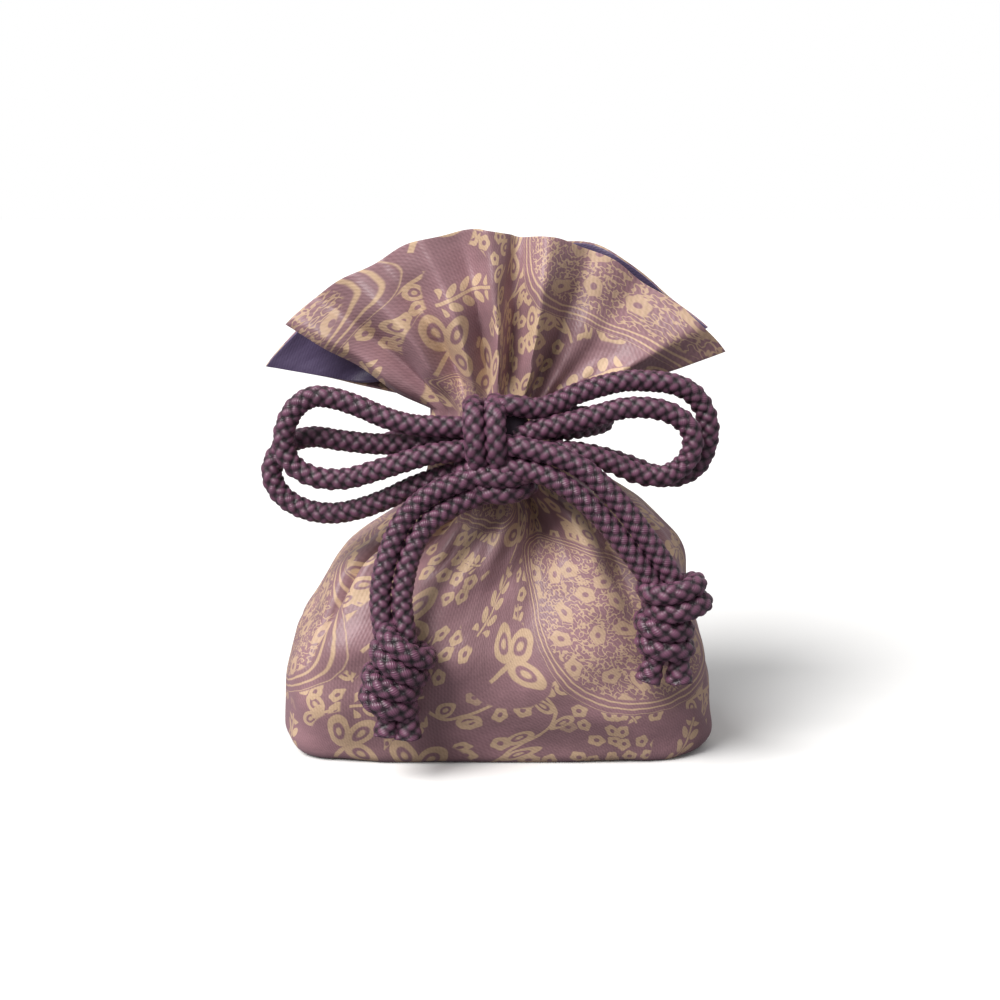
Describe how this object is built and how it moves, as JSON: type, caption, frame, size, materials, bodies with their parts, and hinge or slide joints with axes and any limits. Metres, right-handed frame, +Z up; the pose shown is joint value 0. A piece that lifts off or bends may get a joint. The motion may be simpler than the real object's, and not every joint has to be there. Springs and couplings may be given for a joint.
{
  "type": "kinchaku drawstring pouch",
  "caption": "Small lined drawstring pouch with a boxed flat base, drawn shut at the neck and tied with a doubled braided cord in a front bow.",
  "frame": {"origin": "middle of the flat base, on the surface it stands on", "axes": "+Z up, the bow faces -Y, +X to the right seen from the bow's side"},
  "size_m": [0.1091, 0.0749, 0.1225],
  "materials": {
    "brocade": "woven brocade, mauve ground with cream vine and paisley figures",
    "lining": "plain dark purple satin-weave cloth",
    "cord": "round braided cord in dark plum"
  },
  "bodies": {
    "root": {"outer_bag": "brocade", "lining_bag": "lining", "left_cord_in_channel": "cord", "right_cord_in_channel": "cord", "left_loop_upper": "cord", "left_loop_lower": "cord", "right_loop_outer": "cord", "right_loop_inner": "cord", "left_tail_outer": "cord", "left_tail_inner": "cord", "right_tail_outer": "cord", "right_tail_inner": "cord", "bow_knot": "cord", "left_end_knot": "cord", "right_end_knot": "cord"}
  },
  "joints": []
}
